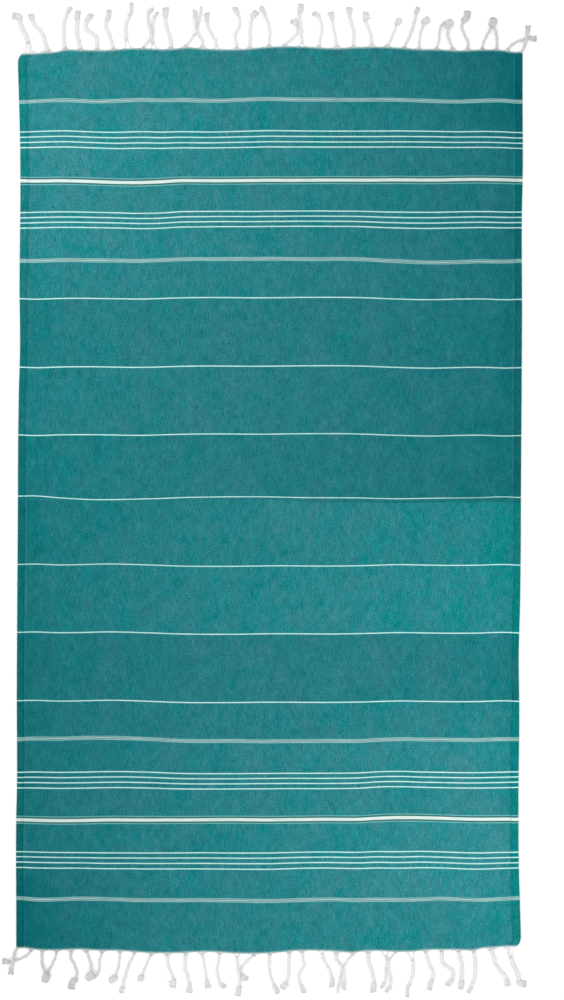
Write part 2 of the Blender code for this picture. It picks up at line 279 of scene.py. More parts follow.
slack_dice = np.random.default_rng(SLACK_SEED)
slack_lengths = slack_dice.uniform(SLACK_SHORTEST, SLACK_LONGEST, SLACK_WAVES)
slack_ways = slack_dice.uniform(0, pi, SLACK_WAVES)
slack_starts = slack_dice.uniform(0, 2 * pi, SLACK_WAVES)


def slack_rise(across, along):
    """Height of the slack's waves at places across one weft."""
    rise = 0.0
    for length, way, start in zip(slack_lengths, slack_ways, slack_starts):
        run = across * np.cos(way) + along * np.sin(way)
        rise = rise + SLACK_STEEPNESS * length * np.sin(2 * pi * run / length + start)
    deepest = SLACK_STEEPNESS * slack_lengths.sum()
    return (rise + SLACK_LIFT * deepest).clip(0) / SLACK_WAVES ** 0.5


def cloth_rise(across, along):
    """Height of the cloth's underside at places across one weft."""
    folds = [one_fold(fold, across, along) for fold in FOLDS]
    folds += [one_fold(fold, -across, -along) for fold in FOLDS]
    creases = [one_fold(fold, across, along) for fold in CREASES]
    creases += [one_fold(fold, -across, -along) for fold in CREASES if fold.runs == "along"]
    rise = np.max(folds, axis=0) + slack_rise(across, along) + CREASE_FLOOR + np.min(creases, axis=0)
    inside_sides = ease((CLOTH_WIDTH / 2 - abs(across)) / EDGE_SETTLE)
    inside_ends = ease((CLOTH_LENGTH / 2 - abs(along)) / EDGE_SETTLE)
    return rise * (EDGE_RISE + (1 - EDGE_RISE) * inside_sides * inside_ends)


HemPoint = namedtuple("HemPoint", "inside height beyond")


def hem_turns():
    """The hem's section: from the cloth beside it, under, round its outer fold, over, round its inner
    fold and back between the two layers to its raw end. beyond is woven length past the outer fold."""
    low = CLOTH_THICK / 2
    top = low + 2 * HEM_LAYER
    line = [(inside, low) for inside in (12.5, 8.5, 4.5, HEM_LAYER)]
    for turn in np.radians((-60, -30, 0, 30, 60, 90)):
        line.append((HEM_LAYER * (1 - np.cos(turn)), low + HEM_LAYER * (1 + np.sin(turn))))
    inner = HEM_WIDTH - HEM_LAYER / 2
    for inside in (3.2, 6.4, 9.6, inner):
        line.append((inside, top + HEM_CROWN * np.sin(pi * inside / inner)))
    for turn in np.radians((45, 0, -45, -90)):
        line.append((inner + HEM_LAYER / 2 * np.cos(turn), top - HEM_LAYER / 2 * (1 - np.sin(turn))))
    line += [(inside, low + HEM_LAYER) for inside in (9.0, 5.0, 2.5)]
    outermost = min(range(len(line)), key=lambda step: line[step][0])
    lengths = np.cumsum([0.0] + [np.hypot(b[0] - a[0], b[1] - a[1]) for a, b in zip(line, line[1:])])
    return [HemPoint(*point, max(0.0, run - lengths[outermost])) for point, run in zip(line, lengths)]


def hem_spread(side, along):
    """Width of the turned hem at a place along it, as a share of HEM_WIDTH."""
    return 1 + HEM_WIDER * ease((-side * along - HEM_WIDER_FROM) / HEM_WIDER_RUN)


def cloth_columns():
    """(side, place across, HemPoint or None) of each line of the cloth's mesh, from hem to hem."""
    inside_hem = CLOTH_WIDTH / 2 - HEM_WIDTH - HEM_CLEAR
    marks = {-inside_hem, inside_hem, CELL_BESIDE_HEM - inside_hem, inside_hem - CELL_BESIDE_HEM}
    for fold in FOLDS + CREASES:
        if fold.runs == "along":
            lines = [fold.at + share * fold.half_width for share in (-1, -0.4, 0.4, 1)]
            marks |= {side * line for side in (-1, 1) for line in lines}
    turns = hem_turns()
    columns = [(-1, -CLOTH_WIDTH / 2 + point.inside, point) for point in reversed(turns)]
    columns += [(0, place, None) for place in filled(marks, CELL_ACROSS)]
    columns += [(1, CLOTH_WIDTH / 2 - point.inside, point) for point in turns]
    return columns


def cloth_rows():
    """Places along the flat cloth, from foot to head, where its mesh has a line."""
    end = CLOTH_LENGTH / 2
    marks = {end, NIP_START, *MIDDLE_LINES}
    marks |= {end - line for line in END_LINES}
    marks |= {-mark for mark in marks}
    marks |= {MIDDLE_CREASE_AT + line for line in CREASE_LINES}
    return filled(marks, CELL_ALONG)


def made_mesh(name, points, faces, layers):
    """A smooth mesh of rows of points in millimetres, with the layers that its finish is laid out on."""
    mesh = bpy.data.meshes.new(name)
    mesh.from_pydata((np.concatenate(points) * MM).tolist(), [], faces)
    for layer, values in layers.items():
        made = mesh.attributes.new(layer, "FLOAT_VECTOR", "POINT")
        made.data.foreach_set("vector", np.concatenate(values).astype(np.float32).ravel())
    mesh.shade_smooth()
    return mesh


def weave_cloth():
    """The cloth's middle surface, with the layer woven that holds each point's place in the flat cloth."""
    columns = cloth_columns()
    sides = np.array([side for side, place, point in columns])
    places = np.array([place for side, place, point in columns])
    height = np.array([point.height if point else CLOTH_THICK / 2 for side, place, point in columns])
    beyond = np.array([point.beyond if point else 0.0 for side, place, point in columns])
    turned = np.where(beyond > 0, CLOTH_WIDTH / 2 - abs(places), 0.0)
    woven_across = np.where(beyond > 0, sides * (CLOTH_WIDTH / 2 + beyond), places)
    points, woven = [], []
    for along in cloth_rows():
        left, right = left_edge_x(along), -left_edge_x(-along)
        laid = places - sides * turned * (hem_spread(sides, along) - 1)
        across = left + (laid / CLOTH_WIDTH + 0.5) * (right - left)
        points.append(np.stack([across, weft_y(across, along), height + cloth_rise(across, along)], axis=1))
        woven.append(np.stack([woven_across, along + 0.0 * across, 0.0 * across], axis=1))
    count = len(columns)
    grid = np.arange(len(points) * count).reshape(-1, count)
    faces = np.stack([grid[:-1, :-1], grid[:-1, 1:], grid[1:, 1:], grid[1:, :-1]], axis=-1).reshape(-1, 4)
    return made_mesh("towel_cloth", points, faces.tolist(), {"woven": woven})


class Dye:
    """A socket of a finish. Sums on it add the nodes that work them out."""

    def __init__(self, socket):
        self.socket = socket

    def node(self, kind, settings=None, inputs=None, output=0):
        """Adds a node with its settings, then a value or a link for each of the sockets named."""
        tree = self.socket.id_data
        made = tree.nodes.new(kind)
        for name, value in (settings or {}).items():
            setattr(made, name, value)
        for name, value in (inputs or {}).items():
            if isinstance(value, Dye):
                tree.links.new(value.socket, made.inputs[name])
            else:
                made.inputs[name].default_value = value
        return Dye(made.outputs[output])

    def sum(self, operation, *values, clamp=False):
        settings = {"operation": operation, "use_clamp": clamp}
        return self.node("ShaderNodeMath", settings, dict(enumerate(values)))

    def __add__(self, other):
        return self.sum("ADD", self, other)

    __radd__ = __add__

    def __mul__(self, other):
        return self.sum("MULTIPLY", self, other)

    __rmul__ = __mul__

    def __sub__(self, other):
        return self.sum("SUBTRACT", self, other)

    def __rsub__(self, other):
        return self.sum("SUBTRACT", other, self)

    def __truediv__(self, other):
        return self.sum("DIVIDE", self, other)

    def __abs__(self):
        return self.sum("ABSOLUTE", self)

    def past(self, level, soft):
        """0 below a level and 1 above it, softened over a width."""
        return self.sum("ADD", (self - level) / soft, 0.5, clamp=True)

    def within(self, middle, width, soft):
        """1 on a band of some width about its middle, and 0 beside it."""
        return self.sum("ADD", (width / 2 - abs(self - middle)) / soft, 0.5, clamp=True)

    def wave(self, pitch, start=0.0):
        """A sine wave of one pitch."""
        return self.sum("SINE", self * (2 * pi / pitch) + start)

    def split(self):
        """The three numbers of a vector."""
        return [self.node("ShaderNodeSeparateXYZ", inputs={0: self}, output=part) for part in range(3)]

    def cloud(self, *lengths, detail=2.0):
        """Soft random blots of about the given lengths, from -0.5 to 0.5."""
        place = self.tinted(tuple(1 / length for length in lengths))
        sockets = {"Vector": place, "Scale": 1.0, "Detail": detail, "Roughness": 0.6}
        return self.node("ShaderNodeTexNoise", {"noise_dimensions": "3D"}, sockets) - 0.5

    def blend(self, low, high):
        """A colour between two, by this share of the second."""
        settings = {"data_type": "RGBA", "clamp_factor": False}
        return self.node("ShaderNodeMix", settings, {0: self, 6: low, 7: high}, output=2)

    def tinted(self, tint):
        """A colour or a vector times another."""
        return self.node("ShaderNodeVectorMath", {"operation": "MULTIPLY"}, {0: self, 1: tint})

    def lit(self, share):
        """A colour made lighter or darker by a share."""
        return self.node("ShaderNodeVectorMath", {"operation": "SCALE"}, {0: self, 3: share})

    def feed(self, shader, name):
        self.socket.id_data.links.new(self.socket, shader.inputs[name])


def start_finish(name, layer, roughness, gloss):
    """A new material, its shader, and the layer of the mesh that its pattern is laid out on."""
    finish = bpy.data.materials.new(name)
    finish.use_nodes = True
    shader = finish.node_tree.nodes["Principled BSDF"]
    shader.inputs["Roughness"].default_value = roughness
    shader.inputs["Specular IOR Level"].default_value = gloss
    reading = finish.node_tree.nodes.new("ShaderNodeAttribute")
    reading.attribute_name = layer
    return finish, shader, Dye(reading.outputs["Vector"])


def raise_threads(height, shader, depth, strength):
    """Lets a height in millimetres tell in the shader's normal."""
    sockets = {"Strength": strength, "Distance": depth * MM, "Height": height}
    height.node("ShaderNodeBump", inputs=sockets).feed(shader, "Normal")


# The teal of the cloth, from its darkest to its palest, and the tints that turn it greener or greyer.
# Each pair of the steps is a distance from the towel's middle where the tone steps, and how much further
# the tone comes there from the middle's towards the ends'.
TEAL_DEEP = (0.0030, 0.125, 0.140, 1.0)
TEAL_PALE = (0.0200, 0.205, 0.226, 1.0)
TEAL_GREENER = (0.50, 1.01, 0.97)
TEAL_GREYER = (1.70, 0.99, 1.02)
TONE_STEPS = ((129, 0.2), (400, 0.35), (475, 0.3), (634, 0.15), (793, -0.2))
STEP_SOFTNESS = 4.0

# How tone (0 deep, 1 pale) and hue (0 greener, 1 greyer) run across the towel: the level at the middle of
# its width, the slope towards the right on the head half and the left on the foot half, and the bend. The
# tone's slopes and bends are painted light and shade: lighter towards the left of the head half and the right
# of the foot half, and darker at both sides.
Trend = namedtuple("Trend", "level slope bend")
TREND_RUN = 420.0  # from the middle of the width to where level, slope and bend add up
MIDDLE_TONE_AND_LIGHT = Trend(0.55, -0.14, -0.10)
END_TONE_AND_LIGHT = Trend(0.93, -0.52, -0.05)
MIDDLE_HUE = Trend(0.74, 0.12, -0.30)
END_HUE = Trend(0.44, 0.10, 0.14)

# Places that differ from those: the foot half's first wefts out from the middle are paler and greener, the
# head half's a little greener. The corners to the right of the head and the left of the foot are darker, and
# so are both sides: painted shade.
PALE_RUN_STOP = 264.0
PALE_RUN_TONE = Trend(0.30, -0.12, 0.0)
PALE_RUN_HUE = Trend(0.29, 0.0, -0.10)
GREEN_RUN_STOP = 129.0
GREEN_RUN_HUE = 0.12
CORNER_SHADE_START = 745.0
CORNER_SHADE_RUN = 60.0
CORNER_PAINTED_SHADE = 0.22
SIDE_SHADE_START = 1.09  # in lengths of TREND_RUN
SIDE_PAINTED_SHADE = 0.11
RIGHT_START = 450.0
RIGHT_RUN = 80.0
RIGHT_HEAD_GREYER = 0.08
RIGHT_FOOT_GREENER = 0.12
RIGHT_FOOT_END_GREENER = 0.14

# Random blots in the cloth, from threads to patches: their size across and along it, and their strength.
Blots = namedtuple("Blots", "wide long strength")
SPECKLES = Blots(2.05, 2.9, 1.45)
STREAKS = Blots(2.2, 16.0, 0.85)
SLUBS = Blots(14.0, 22.0, 0.45)
GREY_SLUBS = Blots(9.0, 22.0, 2.2)
GREY_PATCHES = Blots(60.0, 90.0, 2.2)
PALE_PATCHES = Blots(38.0, 60.0, 0.6)
FIBRES = Blots(1.1, 3.0, 0.25)
STRIPE_EDGES = Blots(1.4, 0.8, 0.9)
STRIPE_HUES = Blots(30.0, 3.0, 2.2)
STRIPE_MIXING = Blots(60.0, 2.0, 0.9)
END_EDGES = Blots(2.5, 1.5, 6.0)
GRAIN_HUE = 1.85  # how much greyer the pale grain is than the dark

# The turned hems are greener, most of all at the towel's ends, and darker, partly for their double layer and
# partly as painted shade, which is strongest at their folds. A paler, greyer line lies beside the inner fold
# of the right hem on the head half and the left on the foot half.
HEM_GREENER = 0.35
HEM_END_GREENER = 0.50
HEM_DARKER_AND_SHADE = 0.12
HEM_FOLD_PAINTED_SHADE = 0.05
PALE_LINE_INSIDE = 3.0  # from the inner fold to the middle of the line
PALE_LINE_WIDTH = 3.6
PALE_LINE_GREYER = 0.35
PALE_LINE_PALER = 0.20

# Stripes of undyed weft and of undyed mixed with teal, the same on both halves: each is a distance from
# the middle, a width and a yarn. A pale stripe and a band have layers, each laid over the one before it.
# The middle stripe is on the head half alone.
Stripe = namedtuple("Stripe", "along width yarn")
PALE_LAYERS = ((8.4, "pale_edge"), (5.2, "pale"), (1.6, "pale_heart"))
BAND_LAYERS = ((16.0, "faint"), (12.4, "shade"), (6.2, "white"))
GROUPED_THIN = (732.2, 721.4, 710.7, 700.4, 572.0, 561.6, 551.3, 541.1)
STRIPES = (
    *(Stripe(along, *layer) for along in (793.6, 475.7) for layer in PALE_LAYERS),
    *(Stripe(634.6, *layer) for layer in BAND_LAYERS),
    *(Stripe(along, 2.3, "thin") for along in GROUPED_THIN),
    *(Stripe(along, 2.2, "thin") for along in (400.4, 264.2)),
    Stripe(129.0, 2.0, "thin"),
)
MIDDLE_STRIPE = Stripe(4.4, 1.8, "thin")
MIDDLE_FAINT_AT = 400.0  # across the towel, where the middle stripe is fainter
MIDDLE_FAINT_RUN = 80.0
MIDDLE_FAINT = 0.35
YARNS = {
    "white": (0.62, 0.735, 0.705, 1.0),
    "thin": (0.475, 0.745, 0.73, 1.0),
    "faint": (0.15, 0.42, 0.44, 1.0),
    "pale": (0.20, 0.35, 0.345, 1.0),
    "pale_edge": (0.16, 0.365, 0.365, 1.0),
    "pale_heart": (0.275, 0.45, 0.43, 1.0),
    "shade": (0.03, 0.14, 0.125, 1.0),
    "end": (0.44, 0.60, 0.58, 1.0),
}
STRIPE_SOFTNESS = 0.5
STRIPE_PAINTED_SHADE = 0.10  # painted shade on the stripes, as a share of their light over one TREND_RUN
PICK_PITCH = 2.9  # from one undyed pick to the next in the pale stripes, where teal picks lie between them
PICK_LIGHT = 0.42
BARE_END = 2.4  # from the cloth's end to where undyed warp and teal weft show alike
BARE_SOFTNESS = 4.8
# A line of painted shade along the middle crease, to the right of CREASE_SHADE_FROM.
CREASE_SHADE_AT = -3.5
CREASE_SHADE_WIDTH = 2.2
CREASE_SHADE_FROM = 90.0  # across the towel
CREASE_PAINTED_SHADE = 0.3
WARP_PITCH = 1.1
WEFT_PITCH = 0.8
THREAD_DEPTH = 0.12

# What the colours of a point go by: its place in the flat cloth, 1 on the head half and 0 on the foot half,
# how far out from the middle, how far beside it in TREND_RUN, and how far its tone has come to the ends'.
Lie = namedtuple("Lie", "woven across along head out beside far")


def lie_of(woven):
    across, along, _ = woven.split()
    head = along.past(-2.0, 2.0)
    out = abs(along)
    beside = across * (2 * head - 1) / TREND_RUN
    far = sum(out.past(start, STEP_SOFTNESS) * rise for start, rise in TONE_STEPS)
    return Lie(woven, across, along, head, out, beside, far)


def level_at(trend, lie):
    """A trend's level at a point."""
    return trend.level + lie.beside * trend.slope + lie.beside * lie.beside * trend.bend


def blotted(blots, lie):
    """Random blots of one kind, about 0."""
    return lie.woven.cloud(blots.wide, blots.long, 1) * blots.strength


def teal_tone_and_light(lie, pale_run):
    """The teal's tone, from 0 deep to 1 pale, with painted light and shade in it."""
    # The trends' slopes and bends paint light and shade across the width.
    middle = level_at(MIDDLE_TONE_AND_LIGHT, lie)
    # Painted shade in two corners and along both sides.
    shaded_corner = lie.out.past(CORNER_SHADE_START, CORNER_SHADE_RUN) * lie.beside.past(0.8, 0.5)
    shaded_side = abs(lie.beside).past(SIDE_SHADE_START, 0.12)
    tone = middle + (level_at(END_TONE_AND_LIGHT, lie) - middle) * lie.far + pale_run * level_at(PALE_RUN_TONE, lie)
    return tone - shaded_corner * CORNER_PAINTED_SHADE - shaded_side * SIDE_PAINTED_SHADE + blotted(PALE_PATCHES, lie)


def teal_hue(lie, pale_run, grain):
    """The teal's hue, from 0 greener to 1 greyer."""
    middle = level_at(MIDDLE_HUE, lie)
    green_run = (1 - lie.out.past(GREEN_RUN_STOP, STEP_SOFTNESS)) * lie.head
    right_side = lie.across.past(RIGHT_START, RIGHT_RUN)
    foot_greener = RIGHT_FOOT_GREENER + lie.far * RIGHT_FOOT_END_GREENER
    hue = middle + (level_at(END_HUE, lie) - middle) * lie.far - pale_run * level_at(PALE_RUN_HUE, lie)
    hue = hue - green_run * GREEN_RUN_HUE
    hue = hue + right_side * (lie.head * RIGHT_HEAD_GREYER - (1 - lie.head) * foot_greener)
    return hue + grain * GRAIN_HUE + blotted(GREY_SLUBS, lie) + blotted(GREY_PATCHES, lie)


def dyed_teal(lie, streaks):
    """The teal cloth's colour without its stripes."""
    pale_run = (1 - lie.head) * (1 - lie.out.past(PALE_RUN_STOP, STEP_SOFTNESS))
    grain = blotted(SPECKLES, lie) + streaks * STREAKS.strength + blotted(SLUBS, lie)
    hem = abs(lie.across).past(CLOTH_WIDTH / 2 + 0.5, 1.0)
    off_crown = (abs(lie.across) - (CLOTH_WIDTH + HEM_WIDTH) / 2) / (HEM_WIDTH / 2)
    pale_line = abs(lie.across).within(CLOTH_WIDTH / 2 - HEM_WIDTH - PALE_LINE_INSIDE, PALE_LINE_WIDTH, 1.5)
    pale_line = pale_line * lie.beside.past(0.0, 1.0)
    teal = teal_tone_and_light(lie, pale_run).blend(TEAL_DEEP, TEAL_PALE)
    hue = teal_hue(lie, pale_run, grain)
    hue = hue - hem * (HEM_GREENER + lie.far * HEM_END_GREENER) + pale_line * PALE_LINE_GREYER
    # The hem is darker for its double layer and by painted shade, most at its folds; the line beside it is
    # paler.
    light = 1 - hem * (HEM_DARKER_AND_SHADE + off_crown * off_crown * HEM_FOLD_PAINTED_SHADE) + pale_line * PALE_LINE_PALER
    return hue.blend(teal.tinted(TEAL_GREENER), teal.tinted(TEAL_GREYER)).lit((1 + grain) * light)


def undyed(yarn, drift):
    """A stripe's colour, pinker where the drift is high and greener where it is low."""
    red, green, blue, _ = YARNS[yarn]
    greener = (red * 0.7, green * 0.92, blue * 0.92, 1.0)
    pinker = (red * 1.3, green * 1.08, blue * 1.08, 1.0)
    return (0.5 + drift).blend(greener, pinker)


def striped(colour, lie):
    """The cloth's colour with its stripes laid in."""
    ragged = lie.out + blotted(STRIPE_EDGES, lie)
    drift = blotted(STRIPE_HUES, lie)
    mixing = 1 + blotted(STRIPE_MIXING, lie)
    # Painted shade across the stripes, as across the teal.
    light = 1 - lie.beside * STRIPE_PAINTED_SHADE
    for stripe in STRIPES:
        yarn = undyed(stripe.yarn, drift).lit(light)
        if stripe.yarn.startswith("pale"):
            picks = lie.out.wave(PICK_PITCH, pi / 2 - 2 * pi * stripe.along / PICK_PITCH)
            yarn = yarn.lit(mixing + picks * PICK_LIGHT)
        colour = ragged.within(stripe.along, stripe.width, STRIPE_SOFTNESS).blend(colour, yarn)
    middle = ragged.within(MIDDLE_STRIPE.along, MIDDLE_STRIPE.width, STRIPE_SOFTNESS) * lie.head
    middle = middle * (1 - lie.across.within(MIDDLE_FAINT_AT, MIDDLE_FAINT_RUN, 25.0) * MIDDLE_FAINT)
    return middle.blend(colour, undyed(MIDDLE_STRIPE.yarn, drift).lit(light))


def cloth_finish():
    finish, shader, woven = start_finish("teal_weave", "woven", roughness=0.92, gloss=0.06)
    lie = lie_of(woven)
    streaks = woven.cloud(STREAKS.wide, STREAKS.long, 1)
    colour = striped(dyed_teal(lie, streaks), lie)
    # Painted shade in the middle crease.
    crease = lie.along.within(CREASE_SHADE_AT, CREASE_SHADE_WIDTH, 1.5)
    crease = crease * lie.across.past(CREASE_SHADE_FROM, 120)
    colour = colour.lit((1 + blotted(FIBRES, lie)) * (1 - crease * CREASE_PAINTED_SHADE))
    bare = 1 - (CLOTH_LENGTH / 2 - lie.out + blotted(END_EDGES, lie)).past(BARE_END, BARE_SOFTNESS)
    (bare * bare).blend(colour, YARNS["end"]).feed(shader, "Base Color")

    weave = lie.across.wave(2 * WARP_PITCH) * lie.along.wave(2 * WEFT_PITCH)
    raise_threads(weave * 0.5 + streaks * 1.5, shader, depth=THREAD_DEPTH, strength=0.6)
    return finish


teal_weave = cloth_finish()
cloth = add_piece("towel_cloth", weave_cloth(), teal_weave)
thickness = cloth.modifiers.new("thickness", "SOLIDIFY")
thickness.thickness = CLOTH_THICK * MM
thickness.offset = 0.0
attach(cloth, "root")
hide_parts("cloth")


# The sewing of the hems. A row of lockstitches in teal thread runs along each hem's inner fold and
# holds its three layers down.
STITCH_LENGTH = 2.7
STITCH_PITCH = 3.4
STITCH_THICK = 0.45
STITCH_INSIDE = 10.8  # from the hem's outer fold
STITCH_COURSE = ((0.0, -0.35), (0.15, 0.05), (0.5, 0.18), (0.85, 0.05), (1.0, -0.35))  # share, height
SEWN_CLEAR = 4.0  # from the cloth's ends
THREAD_TURN = 1.1  # length of one turn of the thread's two plies
THREAD_DEEP = (0.006, 0.115, 0.125, 1.0)
THREAD_PALE = (0.0081, 0.15525, 0.16875, 1.0)


class Yarns:
    """Gathers yarns into one mesh, each a tube lofted along a course of its own, in millimetres."""

    def __init__(self):
        self.points = []
        self.faces = []
        self.layers = {"lay": [], "shade": []}
        self.count = 0

    def add(self, course, width, thick, shade=1.0, corners=4, cream=0.0, facing=(0.0, 0.0, 1.0)):
        """One yarn: its width and thickness at each point of its course, across and along facing."""
        course = np.asarray(course, float)
        rows = len(course)
        ahead = np.gradient(course, axis=0)
        ahead /= np.linalg.norm(ahead, axis=1, keepdims=True)
        side = np.cross(ahead, facing)
        side /= np.linalg.norm(side, axis=1, keepdims=True)
        up = np.cross(side, ahead)
        turn = 2 * pi * np.arange(corners) / corners
        wide = np.broadcast_to(width, rows)[:, None, None] / 2
        high = np.broadcast_to(thick, rows)[:, None, None] / 2
        rings = course[:, None] + side[:, None] * wide * np.cos(turn)[:, None]
        rings = rings + up[:, None] * high * np.sin(turn)[:, None]
        run = np.concatenate([[0.0], np.cumsum(np.linalg.norm(np.diff(course, axis=0), axis=1))])
        lay = np.zeros((rows, corners, 3))
        lay[..., 0] = np.arange(corners) / corners
        lay[..., 1] = run[:, None]
        tint = np.zeros((rows, corners, 3))
        tint[..., 0] = np.broadcast_to(shade, rows)[:, None]
        tint[..., 1] = cream
        grid = self.count + np.arange(rows * corners).reshape(rows, corners)
        after = np.roll(grid, -1, axis=1)
        sides = np.stack([grid[:-1], after[:-1], after[1:], grid[1:]], axis=-1).reshape(-1, 4)
        self.faces += sides.tolist() + [grid[0, ::-1].tolist(), grid[-1].tolist()]
        self.points.append(rings.reshape(-1, 3))
        self.layers["lay"].append(lay.reshape(-1, 3))
        self.layers["shade"].append(tint.reshape(-1, 3))
        self.count += rows * corners

    def mesh(self, name):
        return made_mesh(name, self.points, self.faces, self.layers)


def hem_sewing(name, side):
    """One hem's row of stitches, side -1 for the left one and 1 for the right one."""
    sewing = Yarns()
    top = CLOTH_THICK + 2 * HEM_LAYER
    last = CLOTH_LENGTH / 2 - SEWN_CLEAR
    for along in np.arange(-last, last, STITCH_PITCH):
        edge = left_edge_x(along) if side < 0 else -left_edge_x(-along)
        across = np.full(1, edge - side * STITCH_INSIDE * hem_spread(side, along))
        base = top + cloth_rise(across, along)[0]
        course = []
        for share, rise in STITCH_COURSE:
            place = weft_y(across, along + share * STITCH_LENGTH)[0]
            course.append((across[0], place, base + rise))
        sewing.add(course, STITCH_THICK, STITCH_THICK)
    return sewing.mesh(name)


def thread_finish():
    finish, shader, lay = start_finish("teal_thread", "lay", roughness=0.75, gloss=0.15)
    around, run, _ = lay.split()
    twist = (around + run / THREAD_TURN).wave(0.5)
    (0.5 + twist * 0.25).blend(THREAD_DEEP, THREAD_PALE).feed(shader, "Base Color")
    raise_threads(twist, shader, depth=0.05, strength=0.6)
    return finish


teal_thread = thread_finish()
for name, side in (("left_hem_sewing", -1), ("right_hem_sewing", 1)):
    sewing = add_piece(name, hem_sewing(name, side), teal_thread)
    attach(sewing, "root")


# The tassels. The undyed warp ends of each end of the cloth run along its last weft to the nearest of
# 32 roots, gather there into a cord of three twisted plies, and end in an overhand knot and a frayed tuft.
# Nothing else holds them: the knots keep the cords from untwisting.
WARP_STEP = 2.2  # from one bunch of warp ends to the next along the edge
WARP_THICK = 0.42
WARP_STATIONS = 10
WARP_INSIDE = 2.6  # from the last weft back to where a bunch comes up out of the cloth
EDGE_CLEARANCE = 1.8  # from the last weft to the middle of the root, as the frame has it
FAN_SPREAD = 2.0
FAN_SPREAD_SHARE = 0.8
FAN_REACH = 7.0
CLUMP_LOOSE = 1.3  # how far a bunch in a long fan lies from its clump, at most
LOOSE_BEFORE = -425.0  # to the left of this place, the last wefts are loose and the warp lies further out
LOOSE_RUN = 30.0
LOOSE = 3.0
CORD_START = 5.5  # how far back into the fan the plies begin
CORD_STEP = 1.6
CORD_SLIM = 0.75  # share of its width that a cord has where it begins
CORD_THICK = 4.5
CORD_PLIES = 3
CORD_TURN = 2.6  # length of one turn of the cord's plies, in widths of the cord
PLY_SHARE = 0.56  # of a ply's width in its cord's
KNOT_HALF = 4.5  # of its length, at least
KNOT_LEAST = 5.0  # its thickness
KNOT_MOST = 8.0
KNOT_SECTIONS = (-0.99, -0.85, -0.5, 0.0, 0.5, 0.85, 0.99)  # along its core, in half lengths
KNOT_TURNS = ((-0.55, 0.32), (0.0, 0.42), (0.55, 0.28))  # place in half lengths, and lean
KNOT_ARC = np.radians(np.arange(-190, 191, 20))  # a turn runs round the top and in under both sides
TURN_THICK = 1.7
TUFT_THICK = 2.6
TUFT_YARNS = 22
TUFT_STATIONS = 7
TUFT_START = 0.72  # of the knot's width
TUFT_ROUND = 1.2  # how much shorter the tuft's two sides are
RIDE_HEIGHT = 5.6
RIDE_SLOPE = 8.0
WANDER = 0.45  # how far a cord wanders from its course
WANDER_RUN = 12.0  # from the root to where it wanders fully
UNEVEN = 0.10  # share of its width by which a cord swells and thins
WARP_PAINTED_LIGHT = (1.16, 1.28)  # least and most brightness: of loose warp, painted light against its own shade; of a ply; of a knot's turn, painted shade; of a tuft, a little painted light
PLY_SHADE = (0.97, 1.03)
TURN_PAINTED_SHADE = (0.90, 0.96)
TUFT_TONE_AND_LIGHT = (0.98, 1.06)
FRINGE_SEED = 11

